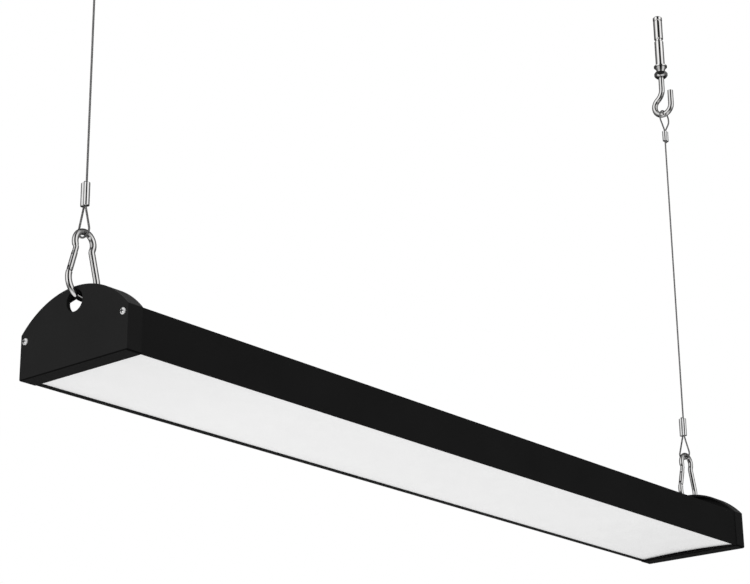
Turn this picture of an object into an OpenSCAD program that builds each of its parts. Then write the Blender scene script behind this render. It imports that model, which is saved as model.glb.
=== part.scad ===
// Hanging shop light on two wire ropes, with snap hooks, hook bolts and sleeve anchors.
// Millimetres. The origin is on the ceiling plane, midway between the two anchors.
// +X runs along the light, +Y across it, +Z up into the ceiling.

/* [Light] */
// Overall length over both end caps
light_len = 1200; // [1000:10:1500]
// Overall width across the end caps
light_w = 160; // [146:1:190]
// Height of the side walls
wall_h = 50; // [48:1:60]
// Thickness of the housing's sheet
sheet = 1.8; // [1.4:0.1:2.2]

/* [End caps] */
// Depth of an end cap along the light
cap_depth = 20; // [18:1:24]
// Thickness of the end plate
cap_plate = 5; // [4:0.5:6]
// Thickness of the skirt behind the end plate
cap_skirt = 2.5; // [2:0.1:3]
// How far the caps stand proud of the housing
cap_proud = 1; // [0.5:0.1:1.5]
// Radius on the caps' lower corners
cap_corner_r = 2.5; // [1:0.1:4]
// Rise of the arch above the side walls
arch_rise = 36; // [34:1:42]
// Diameter of the hanging hole
hang_hole_d = 24; // [22:0.5:26]
// Metal left above the hanging hole
hang_bridge = 3.5; // [3:0.25:4.5]
// Distance of a cap screw from the cap's side
screw_inset = 7; // [6.5:0.1:9]
// Distance of a cap screw below the top of the side wall
screw_drop = 8; // [7.5:0.1:10]

/* [Diffuser] */
// Thickness of the diffuser
diffuser_t = 2; // [1.5:0.1:2.5]
// Height of the diffuser above the housing's lower rims
diffuser_recess = 3; // [2:0.1:4]
// Upward bow of the diffuser at mid width
diffuser_bow = 2.5; // [1:0.1:4]
// Height of the diffuser's clip legs
clip_h = 9; // [7:0.1:11]
// Thickness of the clip legs
clip_t = 1.6; // [1.2:0.1:2]

/* [LED gear] */
// Height of the gear tray above the underside
tray_z = 26; // [24:0.5:27]
// Thickness of the gear tray
tray_t = 1.2; // [1:0.1:1.5]
// Width of an LED board
board_w = 20; // [16:1:26]
// Thickness of an LED board
board_t = 1.6; // [1:0.1:2]
// Distance of a board row from the middle
row_y = 38; // [32:1:44]
// Pitch of the LED chips
chip_pitch = 20; // [16:1:30]
// Side of an LED chip
chip_side = 3.5; // [2.5:0.1:5]
// Height of an LED chip
chip_h = 0.9; // [0.6:0.1:1.2]

/* [Driver] */
// Length of the driver case
driver_len = 250; // [200:5:280]
// Width of the driver case
driver_w = 44; // [38:1:50]
// Height of the driver case
driver_h = 18; // [16:0.5:19]
// Thickness of the driver's sheet
driver_sheet = 1; // [0.8:0.1:1.2]
// Distance from the light's inlet end to the middle of the driver
driver_inset = 270; // [265:5:300]
// Outside diameter of an internal lead
lead_d = 2.6; // [2:0.1:3]

/* [Wire ropes] */
// Diameter of the wire rope
wire_d = 2.4; // [1.6:0.1:2.4]
// Length of a wire between the crowns of its eyes
wire_len = 558; // [300:1:900]
// Length of an eye, from its crown to the ferrule
eye_len = 35; // [34:0.5:42]
// Width of the upper eye between strand centres
upper_eye_w = 25; // [16:0.5:26]
// Width of the lower eye between strand centres
lower_eye_w = 16; // [15.5:0.5:20]
// Width of a ferrule across its two barrels
ferrule_w = 11; // [10.5:0.1:12]
// Outside diameter of each barrel of a ferrule
ferrule_d = 7; // [6.5:0.1:7.5]
// Length of the upper ferrule
upper_ferrule_len = 16; // [14:1:28]
// Length of the lower ferrule
lower_ferrule_len = 26; // [18:1:32]

/* [Snap hooks] */
// Diameter of the snap hook's bar
bar_d = 7; // [6.5:0.1:7.5]
// Overall height of a snap hook
snap_h = 80; // [78:1:90]
// Outside width of the lower bow
snap_low_w = 46; // [45:0.5:50]
// Outside width of the upper bow
snap_top_w = 32; // [31.5:0.5:36]
// Inside width between the necks under the upper bow
throat_w = 15; // [14:0.5:16]
// Diameter of the gate
gate_d = 6.6; // [6:0.1:7]
// Length of the gate from its pin to its free end
gate_len = 20.5; // [19:0.5:21]
// Diameter of the nose above the gate
nose_d = 6; // [5.6:0.1:6.4]
// Diameter of the gate pin
gate_pin_d = 2; // [1.6:0.1:2.2]
// Thickness of the tongues inside the gate's slots
tongue_t = 2.4; // [2:0.1:2.6]

/* [Ceiling anchors] */
// Diameter of the hook bolt
rod_d = 8.8; // [8:0.1:9]
// Inside radius of the hook's bowl
bowl_r = 10.2; // [9.5:0.1:12]
// Drop from the ceiling to the lowest point of the hook
hook_drop = 87; // [84:1:110]
// Height of the hook's tip above the middle of the bowl
tip_rise = 22; // [14:1:23]
// Outside diameter of the expansion sleeve
sleeve_d = 14; // [13.5:0.1:15]
// Length of the expansion sleeve
sleeve_len = 77; // [60:1:90]
// Wall of the expansion sleeve
sleeve_wall = 1.8; // [1.6:0.1:2]
// How far the cone nut at the end of the bolt stands proud of the sleeve
cone_proud = 0.2; // [0:0.05:0.25]
// Height of the cone nut's head
cone_h = 8.5; // [7:0.1:9]
// Diameter of the washer
washer_d = 20.5; // [19:0.5:24]
// Thickness of the washer
washer_t = 2; // [1.6:0.1:3]
// Height of the conical collar
collar_h = 8; // [6:0.5:10]
// Width of the hex nut across its flats
nut_af = 18; // [17:0.5:19]
// Height of the hex nut
nut_h = 9.5; // [9:0.5:13]

/* [Clearances] */
// Running clearance on radius round pins
run_fit = 0.05; // [0.03:0.01:0.08]
// Gap between loose or moving pieces
gap = 0.3; // [0.25:0.05:0.4]

/* [Hidden] */
$fn = 64;
// Overrun of every cut
over = 1;
// A straight bar that runs into a bend is drawn this much thinner, and laps into it by this much
skin = 0.01;
lap = 0.3;

// Hook bolt: centreline radii and heights
bowl_line_r = bowl_r + rod_d / 2;
bowl_z = -hook_drop + rod_d / 2 + bowl_line_r;
// Radius of the bend below the shank, and the straight between it and the bowl
neck_r = 20;
neck_run = 2;
neck_reach = neck_r + bowl_line_r;
neck_turn = acos(neck_r / norm([neck_reach, neck_run])) - atan2(neck_run, neck_reach);
neck_z = bowl_z + neck_reach * sin(neck_turn) + neck_run * cos(neck_turn);
// Height of the rod's middle at the bottom of the bowl
hook_line_z = -hook_drop + rod_d / 2;

// Snap hook: centreline radii of its bows and necks, and the lean of its legs
bar_r = bar_d / 2;
low_r = (snap_low_w - bar_d) / 2;
top_r = (snap_top_w - bar_d) / 2;
bow_rise = snap_h - bar_d - low_r - top_r;
throat_r = 5;
throat_run = 0.8;
// Middle of a neck's bend, out from and below the middle of the upper bow
bend_out = throat_w / 2 + bar_r + throat_r;
throat_turn = acos(bend_out / norm([top_r + throat_r, throat_run]))
  - atan2(throat_run, top_r + throat_r);
bend_drop = (top_r + throat_r) * sin(throat_turn) + throat_run * cos(throat_turn);
bend_span = norm([bend_out, bow_rise - bend_drop]);
leg_lean = asin((low_r + throat_r) / bend_span) - atan2(bend_out, bow_rise - bend_drop);
leg_len = sqrt(pow(bend_span, 2) - pow(low_r + throat_r, 2));

// Wire ropes
wire_r = wire_d / 2;
upper_crown_r = upper_eye_w / 2;
lower_crown_r = lower_eye_w / 2;
strand_gap_share = 1.2;
strand_gap = strand_gap_share * wire_d;
// Distance from the middle of a bar to the crown of an eye hung on it, half a strand gap off centre
function eye_seat(crown_r, bar) =
  crown_r - sqrt(pow(crown_r - bar / 2 - gap - wire_r, 2) - pow(strand_gap / 2, 2));

// Heights down the suspension
upper_crown_z = hook_line_z + eye_seat(upper_crown_r, rod_d);
lower_crown_z = upper_crown_z - wire_len;
top_bow_z = lower_crown_z + eye_seat(lower_crown_r, bar_d) - top_r;
low_bow_z = top_bow_z - bow_rise;
hang_inset = cap_depth / 2;
hang_x = light_len / 2 - hang_inset;
// Drop from the middle of the lower bow to the top of the hanging hole
hole_top_drop = sqrt(pow(low_r - bar_r, 2) - pow(hang_inset, 2)) - gap;
light_z = low_bow_z - hole_top_drop + hang_bridge - arch_rise - wall_h;

// End caps and housing
arch_half = light_w / 2;
arch_r = (pow(arch_half, 2) + pow(arch_rise, 2)) / (2 * arch_rise);
arch_z = wall_h + arch_rise - arch_r;
hole_z = wall_h + arch_rise - hang_bridge - hang_hole_d / 2;
housing_len = light_len - 2 * cap_depth;
housing_half = light_w / 2 - cap_proud;
inner_half = housing_half - sheet;
screw_y = light_w / 2 - screw_inset;
screw_z = wall_h - screw_drop;

// Cap screws
cap_screw_d = 4;
cap_screw_head_d = 7.3;
cap_screw_head_h = 2.6;
cap_screw_grip = 14;
dome_share = 2 / 3;
// Play between a screw and its hole
screw_play = 0.4;
port_wall = 1.8;
boss_wall = 2.4;
// Cross recess in a screw head
recess_w = 1;
recess_span = 4.2;
recess_deep = 1.5;

// Ribs inside the housing
rib_w = 5;
rib_t = 1.5;
catch_w = 1;
catch_t = 1.5;
// Play round the gear tray and the diffuser
slide_play = 0.3;

// Diffuser
diffuser_half = inner_half - slide_play;
diffuser_z = cap_proud + diffuser_recess;
// How far the diffuser reaches into each cap
diffuser_tuck = 4;
bow_steps = 24;
catch_z = diffuser_z + clip_h - 2 * catch_t - slide_play;

// Gear tray and LED boards
tray_end_gap = 5;
tray_len = housing_len - 2 * tray_end_gap;
tray_half = inner_half - slide_play;
bead_r = 1.5;
bead_y = 64;
board_gap = 16;
board_len = (tray_len - 3 * board_gap) / 2;
board_x = (board_len + board_gap) / 2;
board_screw_d = 3;
board_screw_head_d = 5.5;
board_screw_head_h = 1.8;
board_screw_len = 7;
// Places of a board's screws, as shares of half its length
board_screw_shares = [-0.94, 0, 0.94];
chip_count = floor(board_len / chip_pitch) - 1;
// Distance of the chips from the line of the board's screws
chip_off = board_w / 6;

// Driver
driver_z = tray_z + tray_t;
driver_tab = 12;
driver_board_lift = 3;
driver_board_t = 1.6;
driver_screw_d = 4;
driver_screw_head_d = 7;
driver_screw_head_h = 2.4;
driver_screw_len = 6;
// Places of the driver board's feet and parts, as shares of its half length and half width
foot_shares = [0.9, 0.7];
can_shares = [-0.8, -0.6, -0.4];
can_d_share = 0.7;
coil_shares = [-0.2, 0.3, 0.6];
choke_shares = [0.45, 0.15, 0.4];
choke_h_share = 0.8;
end_can_shares = [0.8, 0.6];
lead_pitch = 6;
lead_lift = 6;
lead_z = driver_z + lead_lift;
// How far a lead reaches into the driver and the terminal block
lead_in = 6;

// Terminal block
block_l = 24;
block_w = 24;
block_h = 14;
block_inset = 42;
block_x = light_len / 2 - cap_depth - block_inset;
driver_x = light_len / 2 - driver_inset;
block_hole_d = 3.4;
block_screw_d = 4;

// Inlet in the right end cap
inlet_d = 14;
inlet_bore = 8;
inlet_lip = 2;
inlet_lip_t = 2;
inlet_lift = 10;
inlet_z = tray_z + tray_t + inlet_lift;

// Eyes of the wire ropes: the bend radius of a strand at the ferrule's mouth
mouth_r = 8;
mouth_p = strand_gap / 2 + mouth_r;
// Distance between the middles of the mouth's bend and the crown, and what follows from it
function mouth_span(crown_r) = norm([mouth_p, eye_len - crown_r]);
function eye_spread(crown_r) =
  atan2(eye_len - crown_r, mouth_p) + asin((mouth_r + crown_r) / mouth_span(crown_r)) - 90;
function strand_len(crown_r) =
  sqrt(pow(mouth_span(crown_r), 2) - pow(mouth_r + crown_r, 2));

// Gate of a snap hook
gate_r = gate_d / 2;
// Height of the gate pin above the end of the lower bow
pin_up = 2.6;
// Gap at either end of the gate
gate_gap = 0.35;
slot_w = tongue_t + 2 * gap;
tongue_w = gate_d - 4 * gap;
// Foot of the fixed leg above the gate, and the reach of its nose into the gate
nose_z = pin_up + gate_len + gate_gap;
nose_reach = 3;
// Spring and plunger in the gate's bore
spring_bore = 3.6;
spring_len = 6.5;
plunger_len = 4;
bore_len = spring_len + plunger_len;

// Ceiling anchor
sleeve_bore = sleeve_d - 2 * sleeve_wall;
slit_w = 1.6;
slit_count = 4;
waist_share = 0.58;
waist_w = 5;
waist_deep = 1.3;
// Flare inside the sleeve's top
flare_w = 1;
flare_deep = 5;
// Groove between the sleeve and the cone nut's head
groove_h = 1.4;
// How far the bolt ends inside the cone nut
bolt_short = 1.5;
bolt_top = sleeve_len + cone_h - bolt_short;
collar_low_d = 11;
collar_high_d = 17;
collar_edge = 1;
nut_chamfer = 2.6;
nut_z = -washer_t - collar_h - nut_h;

// Pan head screw: the head stands before x = 0 and the shank runs along +X
module pan_screw(d, head_d, head_h, reach) {
  difference() {
    union() {
      rotate([0, 90, 0]) cylinder(h = reach, d = d);
      rotate([0, -90, 0]) rotate_extrude() pan_outline(head_d, head_h);
    }
    for (turn = [0, 90])
      rotate([turn, 0, 0])
        translate([-head_h - over, -recess_w / 2, -recess_span / 2])
          cube([recess_deep + over, recess_w, recess_span]);
  }
}

// Half outline of a pan head: a low rim under a domed top
module pan_outline(head_d, head_h) {
  dome_h = head_h * dome_share;
  dome_r = (pow(head_d / 2, 2) + pow(dome_h, 2)) / (2 * dome_h);
  intersection() {
    square([head_d / 2, head_h]);
    translate([0, head_h - dome_r]) circle(dome_r);
  }
}

// Local frame of an end cap: x = 0 at its outer face, x grows towards the light's middle
module at_cap(side) {
  translate([side * light_len / 2, 0, light_z])
    mirror([side > 0 ? 1 : 0, 0, 0])
      children();
}

// Cross section of a cap, inset by a wall, in the plane of its end face
module cap_section(inset) {
  half = light_w / 2 - inset;
  corner = cap_corner_r;
  translate([-half, inset + corner]) square([2 * half, wall_h - inset - corner]);
  translate([-half + corner, inset]) square([2 * (half - corner), wall_h - inset]);
  for (s = [-1, 1]) translate([s * (half - corner), inset + corner]) circle(corner);
  intersection() {
    translate([0, arch_z]) circle(arch_r - inset, $fn = 180);
    translate([-half, wall_h - sheet]) square([2 * half, arch_rise + sheet]);
  }
}

// Turns a flat section in the YZ plane into a solid along +X
module along_x(length) {
  rotate([90, 0, 90]) linear_extrude(length) children();
}

// Round bars or holes on the axes of the cap screws
module screw_bars(d, from, to) {
  for (s = [-1, 1])
    translate([from, s * screw_y, screw_z])
      rotate([0, 90, 0]) cylinder(h = to - from, d = d);
}

module end_cap(side, inlet) {
  boss_d = cap_screw_d + screw_play + 2 * boss_wall;
  at_cap(side) difference() {
    union() {
      difference() {
        along_x(cap_depth) cap_section(0);
        translate([cap_plate, 0, 0]) along_x(cap_depth) cap_section(cap_skirt);
      }
      // Shelf that closes the wiring space below the hanging arch
      translate([cap_plate / 2, -light_w / 2 + cap_skirt / 2, wall_h - sheet])
        cube([cap_depth - cap_plate / 2, light_w - cap_skirt, sheet]);
      intersection() {
        screw_bars(boss_d, cap_plate / 2, cap_depth);
        along_x(cap_depth) cap_section(cap_skirt / 2);
      }
    }
    screw_bars(cap_screw_d + screw_play, -over, cap_depth + over);
    translate([-over, 0, hole_z])
      rotate([0, 90, 0]) cylinder(h = cap_plate + 2 * over, d = hang_hole_d);
    if (inlet)
      translate([-over, 0, inlet_z])
        rotate([0, 90, 0]) cylinder(h = cap_plate + 2 * over, d = inlet_d);
  }
}

module left_end_cap() {
  color([0.15, 0.15, 0.16]) end_cap(-1, false);
}

module right_end_cap() {
  color([0.15, 0.15, 0.16]) end_cap(1, true);
}

module cap_screws(side) {
  at_cap(side)
    for (s = [-1, 1])
      translate([0, s * screw_y, screw_z])
        pan_screw(cap_screw_d, cap_screw_head_d, cap_screw_head_h, cap_depth + cap_screw_grip);
}

module left_cap_screws() {
  color([0.8, 0.8, 0.82]) cap_screws(-1);
}

module right_cap_screws() {
  color([0.8, 0.8, 0.82]) cap_screws(1);
}

// Cross section of the housing: walls, deck, screw ports, tray slots and diffuser catches
module housing_section() {
  port_r = (cap_screw_d + screw_play) / 2 + port_wall;
  difference() {
    union() {
      translate([-housing_half, wall_h - sheet]) square([2 * housing_half, sheet]);
      for (s = [-1, 1]) mirror([s > 0 ? 1 : 0, 0]) {
        translate([-housing_half, cap_proud]) square([sheet, wall_h - cap_proud]);
        translate([-screw_y, screw_z]) circle(port_r);
        translate([-screw_y - sheet / 2, screw_z]) square([sheet, screw_drop - sheet / 2]);
        translate([-inner_half - sheet / 2, screw_z - sheet / 2])
          square([inner_half - screw_y + sheet / 2, sheet]);
        translate([-inner_half - sheet / 2, tray_z - rib_t])
          square([rib_w + sheet / 2, rib_t]);
        translate([-inner_half - sheet / 2, tray_z + tray_t + slide_play])
          square([rib_w + sheet / 2, rib_t]);
        translate([-inner_half - sheet / 2, catch_z])
          square([catch_w + sheet / 2, catch_t]);
      }
    }
    for (s = [-1, 1])
      translate([s * screw_y, screw_z]) circle(d = cap_screw_d + screw_play);
  }
}

module housing() {
  color([0.1, 0.1, 0.1])
    translate([-housing_len / 2, 0, light_z]) along_x(housing_len) housing_section();
}

function bow_height(y) = diffuser_bow * (1 - pow(y / diffuser_half, 2));

module diffuser_section() {
  low = [for (i = [0 : bow_steps])
    let (y = diffuser_half * (2 * i / bow_steps - 1)) [y, bow_height(y)]];
  high = [for (i = [bow_steps : -1 : 0])
    let (y = diffuser_half * (2 * i / bow_steps - 1)) [y, bow_height(y) + diffuser_t]];
  polygon(concat(low, high));
  // Clip legs with a bead that hooks over the housing's catch
  for (s = [-1, 1]) mirror([s > 0 ? 1 : 0, 0]) {
    translate([-diffuser_half + catch_w, diffuser_t / 2])
      square([clip_t, clip_h - diffuser_t / 2]);
    translate([-diffuser_half, clip_h - catch_t]) square([catch_w + clip_t / 2, catch_t]);
  }
}

module diffuser() {
  length = housing_len + 2 * diffuser_tuck;
  color([0.93, 0.93, 0.93])
    translate([-length / 2, 0, light_z + diffuser_z]) along_x(length) diffuser_section();
}

module board_screw_places() {
  for (bx = [-1, 1], by = [-1, 1], share = board_screw_shares)
    translate([bx * board_x + share * board_len / 2, by * row_y, 0]) children();
}

module driver_screw_places() {
  for (s = [-1, 1])
    translate([driver_x + s * (driver_len + driver_tab) / 2, 0, 0]) children();
}

module gear_tray() {
  hole_d = board_screw_d + screw_play;
  color([0.9, 0.9, 0.9]) translate([0, 0, light_z]) difference() {
    union() {
      translate([-tray_len / 2, -tray_half, tray_z]) cube([tray_len, 2 * tray_half, tray_t]);
      for (s = [-1, 1])
        translate([-tray_len / 2, s * bead_y, tray_z + tray_t / 2])
          rotate([0, 90, 0]) cylinder(h = tray_len, r = bead_r);
    }
    board_screw_places()
      translate([0, 0, tray_z - over]) cylinder(h = tray_t + 2 * over, d = hole_d);
    driver_screw_places()
      translate([0, 0, tray_z - over])
        cylinder(h = tray_t + 2 * over, d = driver_screw_d + screw_play);
    for (s = [-1, 1])
      translate([0, s * row_y, tray_z - over])
        cylinder(h = tray_t + 2 * over, d = 2 * lead_d);
  }
}

module led_board(bx, by) {
  chip_run = (chip_count - 1) * chip_pitch;
  color([0.95, 0.95, 0.9]) translate([bx * board_x, by * row_y, light_z + tray_z - board_t])
    difference() {
      union() {
        translate([-board_len / 2, -board_w / 2, 0]) cube([board_len, board_w, board_t]);
        for (i = [0 : chip_count - 1])
          translate([i * chip_pitch - chip_run / 2 - chip_side / 2, chip_off, -chip_h])
            cube([chip_side, chip_side, chip_h + board_t / 2]);
      }
      for (share = board_screw_shares)
        translate([share * board_len / 2, 0, -over])
          cylinder(h = board_t + 2 * over, d = board_screw_d + screw_play);
    }
}

module led_board_1() {
  led_board(-1, -1);
}

module led_board_2() {
  led_board(1, -1);
}

module led_board_3() {
  led_board(-1, 1);
}

module led_board_4() {
  led_board(1, 1);
}

module led_board_screws() {
  color([0.75, 0.75, 0.77]) translate([0, 0, light_z + tray_z - board_t])
    board_screw_places() rotate([0, -90, 0])
      pan_screw(board_screw_d, board_screw_head_d, board_screw_head_h, board_screw_len);
}

// Frame of the driver case: origin at the middle of its floor
module at_driver() {
  translate([driver_x, 0, light_z + driver_z]) children();
}

module driver_base() {
  tab_w = driver_w / 2;
  color([0.75, 0.75, 0.75]) at_driver() difference() {
    union() {
      translate([-driver_len / 2, -driver_w / 2, 0]) cube([driver_len, driver_w, driver_sheet]);
      for (s = [-1, 1])
        translate([-driver_len / 2, s > 0 ? driver_w / 2 - driver_sheet : -driver_w / 2, 0])
          cube([driver_len, driver_sheet, driver_h / 2]);
      translate([-driver_len / 2 - driver_tab, -tab_w / 2, 0])
        cube([driver_len + 2 * driver_tab, tab_w, driver_sheet]);
    }
    for (s = [-1, 1])
      translate([s * (driver_len + driver_tab) / 2, 0, -over])
        cylinder(h = driver_sheet + 2 * over, d = driver_screw_d + screw_play);
  }
}

module driver_cover() {
  wall = driver_sheet;
  half_w = driver_w / 2 - driver_sheet;
  entry_d = lead_d + 2 * gap;
  color([0.8, 0.8, 0.8]) at_driver() difference() {
    translate([-driver_len / 2, -half_w, driver_sheet])
      cube([driver_len, 2 * half_w, driver_h - driver_sheet]);
    translate([-driver_len / 2 + wall, -half_w + wall, 0])
      cube([driver_len - 2 * wall, 2 * (half_w - wall), driver_h - wall]);
    for (y = [-lead_pitch, 0, lead_pitch])
      translate([-driver_len / 2 - over, y, lead_z - driver_z])
        rotate([0, 90, 0]) cylinder(h = driver_len + 2 * over, d = entry_d);
  }
}

module driver_board() {
  play = 2 * driver_sheet + gap;
  half_l = driver_len / 2 - play - lead_in;
  half_w = driver_w / 2 - play;
  top = driver_board_lift + driver_board_t - driver_sheet / 2;
  part_h = driver_h - top - 2 * driver_sheet - gap;
  color([0.2, 0.45, 0.25]) at_driver() {
    translate([-half_l, -half_w, driver_board_lift]) cube([2 * half_l, 2 * half_w, driver_board_t]);
    // Feet that carry the board on the case's floor
    for (sx = [-1, 1], sy = [-1, 1])
      translate([sx * half_l * foot_shares[0], sy * half_w * foot_shares[1], driver_sheet])
        cylinder(h = driver_board_lift, d = driver_board_lift);
    // Transformer, choke and capacitors
    translate([half_l * coil_shares[0], -half_w * coil_shares[2], top])
      cube([half_l * coil_shares[1], 2 * half_w * coil_shares[2], part_h]);
    translate([half_l * choke_shares[0], -half_w * choke_shares[2], top])
      cube([half_l * choke_shares[1], 2 * half_w * choke_shares[2], part_h * choke_h_share]);
    for (share = can_shares)
      translate([half_l * share, 0, top]) cylinder(h = part_h, d = half_w * can_d_share);
    translate([half_l * end_can_shares[0], 0, top])
      cylinder(h = part_h, d = half_w * end_can_shares[1]);
  }
}

module driver_screws() {
  color([0.75, 0.75, 0.77]) translate([0, 0, light_z + driver_z + driver_sheet])
    driver_screw_places() rotate([0, 90, 0])
      pan_screw(driver_screw_d, driver_screw_head_d, driver_screw_head_h, driver_screw_len);
}

module terminal_block() {
  color([0.92, 0.9, 0.84]) translate([block_x, 0, light_z + driver_z]) difference() {
    translate([-block_l / 2, -block_w / 2, 0]) cube([block_l, block_w, block_h]);
    for (y = [-lead_pitch, 0, lead_pitch]) {
      translate([-block_l / 2 - over, y, lead_z - driver_z])
        rotate([0, 90, 0]) cylinder(h = block_l + 2 * over, d = block_hole_d);
      for (s = [-1, 1])
        translate([s * block_l / 4, y, block_h / 2]) cylinder(h = block_h, d = block_screw_d);
    }
  }
}

module supply_leads() {
  start = driver_x + driver_len / 2 - lead_in;
  end = block_x - block_l / 2 + lead_in;
  color([0.7, 0.2, 0.15])
    for (y = [-lead_pitch, 0, lead_pitch])
      translate([start, y, light_z + lead_z])
        rotate([0, 90, 0]) cylinder(h = end - start, d = lead_d);
}

// Quarter bend that runs from the +X side of its centre to the +Y side
module elbow(bend_r, d) {
  rotate_extrude(angle = 90) translate([bend_r, 0]) circle(d = d);
}

module led_leads() {
  bend_r = 2 * lead_d;
  start = driver_x - driver_len / 2 + lead_in;
  side_run = row_y - lead_pitch - 2 * bend_r;
  drop = lead_z - bend_r - tray_z + board_t;
  color([0.85, 0.85, 0.85])
    for (s = [-1, 1]) mirror([0, s < 0 ? 1 : 0, 0]) translate([0, 0, light_z + lead_z]) {
      translate([bend_r, lead_pitch, 0])
        rotate([0, 90, 0]) cylinder(h = start - bend_r, d = lead_d);
      translate([bend_r, lead_pitch + bend_r, 0]) rotate([0, 0, 180]) elbow(bend_r, lead_d);
      translate([0, lead_pitch + bend_r, 0])
        rotate([-90, 0, 0]) cylinder(h = side_run, d = lead_d);
      translate([0, row_y - bend_r, -bend_r])
        rotate([90, 0, 90]) elbow(bend_r, lead_d);
      translate([0, row_y, -bend_r - drop]) cylinder(h = drop, d = lead_d);
    }
}

module inlet_grommet() {
  neck_r = inlet_d / 2 - run_fit;
  lip_r = inlet_d / 2 + inlet_lip;
  outline = [
    [inlet_bore / 2, -inlet_lip_t], [lip_r - inlet_lip_t / 2, -inlet_lip_t],
    [lip_r, -inlet_lip_t / 2], [lip_r, 0], [neck_r, 0], [neck_r, cap_plate],
    [lip_r, cap_plate], [lip_r, cap_plate + inlet_lip_t],
    [inlet_bore / 2, cap_plate + inlet_lip_t]
  ];
  color([0.08, 0.08, 0.08]) at_cap(1) translate([0, 0, inlet_z])
    rotate([0, 90, 0]) rotate_extrude() polygon(outline);
}

// Local frame of a snap hook: origin at the middle of its lower bow, in the XZ plane
module at_snap(side) {
  translate([side * hang_x, 0, low_bow_z]) children();
}

// Arc of round bar in the XZ plane, from one angle through a sweep
module bar_arc(line_r, d, from, sweep) {
  rotate([90, 0, 0]) rotate([0, 0, from])
    rotate_extrude(angle = sweep) translate([line_r, 0]) circle(d = d);
}

// Frame of the gated leg: origin where it leaves the lower bow, x outwards, z up the leg
module on_gate_leg() {
  mirror([1, 0, 0]) rotate([0, -leg_lean, 0]) translate([low_r, 0, 0]) children();
}

// Bar across the plane of the snap hook
module cross_bar(z, d, length) {
  translate([0, length / 2, z]) rotate([90, 0, 0]) cylinder(h = length, d = d);
}

// Flat tongue in the plane of the snap hook, with a round end
module tongue(root, tip) {
  low = min(root, tip);
  translate([-tongue_w / 2, -tongue_t / 2, low]) cube([tongue_w, tongue_t, abs(tip - root)]);
  cross_bar(tip, tongue_w, tongue_t);
}

// Neck of the snap hook: out of the upper bow on its +X side, then out again into the leg
module snap_neck(d) {
  rotate([0, throat_turn, 0]) translate([top_r, 0, -throat_run - lap])
    cylinder(h = throat_run + 2 * lap, d = d - 2 * skin);
  translate([bend_out, 0, -bend_drop])
    bar_arc(throat_r, d, 180 - throat_turn, throat_turn + leg_lean);
}

module snap_body(side) {
  color([0.78, 0.78, 0.8]) at_snap(side) difference() {
    union() {
      difference() {
        bar_arc(low_r, bar_d, 180 - leg_lean, 180 + 2 * leg_lean);
        on_gate_leg() cross_bar(pin_up, gate_d + 2 * gate_gap, 2 * bar_d);
      }
      translate([0, 0, bow_rise]) {
        bar_arc(top_r, bar_d, -throat_turn, 180 + 2 * throat_turn);
        snap_neck(bar_d);
        mirror([1, 0, 0]) snap_neck(nose_d);
      }
      rotate([0, -leg_lean, 0])
        translate([low_r, 0, -lap]) cylinder(h = leg_len + 2 * lap, d = bar_d - 2 * skin);
      on_gate_leg() {
        translate([0, 0, nose_z])
          cylinder(h = leg_len - nose_z + lap, d = nose_d - 2 * skin);
        tongue(-bar_r, pin_up);
        tongue(nose_z + bar_r, nose_z - nose_reach + tongue_w / 2);
      }
    }
    on_gate_leg() cross_bar(pin_up, gate_pin_d + 2 * run_fit, 2 * bar_d);
  }
}

module snap_gate(side) {
  slot_top = pin_up + tongue_w / 2 + gap;
  free_end = pin_up + gate_len;
  nose_slot = nose_reach + 4 * gap;
  color([0.82, 0.82, 0.84]) at_snap(side) on_gate_leg() difference() {
    rotate_extrude() intersection() {
      union() {
        translate([0, pin_up]) circle(gate_r);
        translate([0, pin_up]) square([gate_r, gate_len]);
      }
      translate([0, -gate_len]) square([gate_d, 3 * gate_len]);
    }
    translate([-gate_d, -slot_w / 2, -gate_d]) cube([2 * gate_d, slot_w, slot_top + gate_d]);
    translate([-gate_d, -slot_w / 2, free_end - nose_slot])
      cube([2 * gate_d, slot_w, nose_slot + over]);
    translate([0, 0, pin_up]) cylinder(h = slot_top - pin_up + bore_len, d = spring_bore);
    cross_bar(pin_up, gate_pin_d + 2 * run_fit, 2 * gate_d);
  }
}

module gate_pin(side) {
  color([0.6, 0.6, 0.62]) at_snap(side) on_gate_leg()
    cross_bar(pin_up, gate_pin_d, gate_d - 2 * gap);
}

module gate_plunger(side) {
  color([0.65, 0.65, 0.67]) at_snap(side) on_gate_leg()
    translate([0, 0, pin_up + tongue_w / 2 + gap])
      cylinder(h = plunger_len, d = spring_bore - gap);
}

module gate_spring(side) {
  color([0.7, 0.7, 0.72]) at_snap(side) on_gate_leg()
    translate([0, 0, pin_up + tongue_w / 2 + gap + plunger_len]) difference() {
      cylinder(h = spring_len, d = spring_bore - gap);
      translate([0, 0, -over]) cylinder(h = spring_len + 2 * over, d = spring_bore - 5 * gap);
    }
}

module left_snap_body() {
  snap_body(-1);
}

module right_snap_body() {
  snap_body(1);
}

module left_snap_gate() {
  snap_gate(-1);
}

module right_snap_gate() {
  snap_gate(1);
}

module left_gate_pin() {
  gate_pin(-1);
}

module right_gate_pin() {
  gate_pin(1);
}

module left_gate_spring() {
  gate_spring(-1);
}

module right_gate_spring() {
  gate_spring(1);
}

module left_gate_plunger() {
  gate_plunger(-1);
}

module right_gate_plunger() {
  gate_plunger(1);
}

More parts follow.
